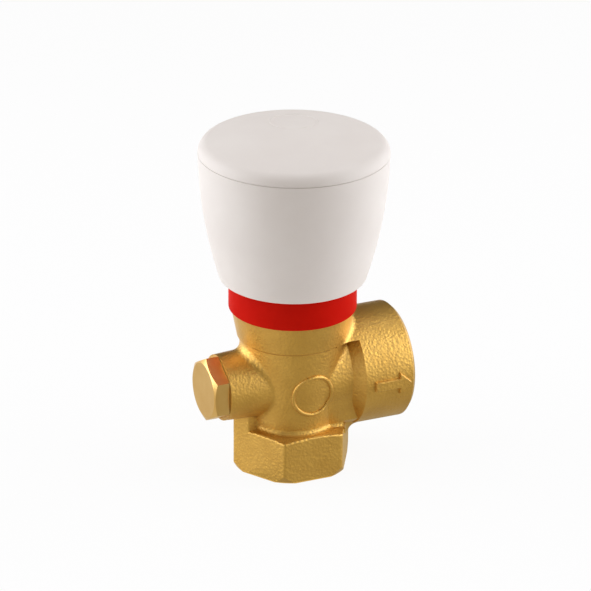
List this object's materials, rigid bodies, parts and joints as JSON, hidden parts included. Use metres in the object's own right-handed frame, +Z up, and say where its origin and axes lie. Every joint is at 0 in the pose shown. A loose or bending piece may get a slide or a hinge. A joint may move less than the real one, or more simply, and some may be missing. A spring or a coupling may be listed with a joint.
{
  "type": "differential bypass valve",
  "caption": "Forged brass differential bypass valve with a hexagon inlet below, a round outlet to the side, a plugged tapping and a white knob over a red collar that sets the spring.",
  "frame": {"origin": "centre of the inlet's end face, on the spindle axis", "axes": "+Z up along the spindle to the knob, +X out of the outlet, -Z out of the inlet"},
  "size_m": [0.0601, 0.055, 0.1024],
  "materials": {
    "forged_brass": "blasted forging, satin",
    "turned_brass": "turned, bright",
    "white_plastic": "moulded, gloss",
    "red_plastic": "moulded, gloss",
    "seal_rubber": "moulded, matt",
    "spring_steel": "drawn wire",
    "plated_steel": "zinc plated",
    "ptfe": "turned, matt"
  },
  "bodies": {
    "valve": {"valve_body": "forged_brass", "side_plug": "turned_brass", "plug_seal": "seal_rubber", "bonnet": "turned_brass", "bonnet_seal": "seal_rubber", "spindle_seal_lower": "seal_rubber", "spindle_seal_upper": "seal_rubber", "gland_nut": "turned_brass", "scale_collar": "red_plastic"},
    "adjuster": {"spring_plate": "turned_brass", "thrust_washer": "ptfe", "spring": "spring_steel"},
    "knob": {"knob_skirt": "white_plastic", "knob_cap": "white_plastic", "knob_screw": "plated_steel", "screw_washer": "plated_steel", "spindle": "turned_brass"},
    "obturator": {"disc_holder": "turned_brass", "seal_disc": "seal_rubber", "disc_screw": "plated_steel", "disc_washer": "plated_steel"}
  },
  "joints": [
    {"name": "setting_slide", "type": "slide", "parent": "valve", "child": "adjuster", "axis": [0, 0, 1], "range_m": [-0.00375, 0.00375], "deforming": ["spring"]},
    {"name": "knob_turn", "type": "hinge", "parent": "adjuster", "child": "knob", "pos_m": [0, 0, 0.09], "axis": [0, 0, 1], "range_deg": [-900, 900]},
    {"name": "disc_lift", "type": "slide", "parent": "valve", "child": "obturator", "axis": [0, 0, 1], "range_m": [0, 0.004], "stiffness_N_per_m": 1600, "springref_m": -0.005}
  ],
  "couplings": [
    {"joint": "setting_slide", "follows": "knob_turn", "m_per_rad": 0.00023873}
  ]
}
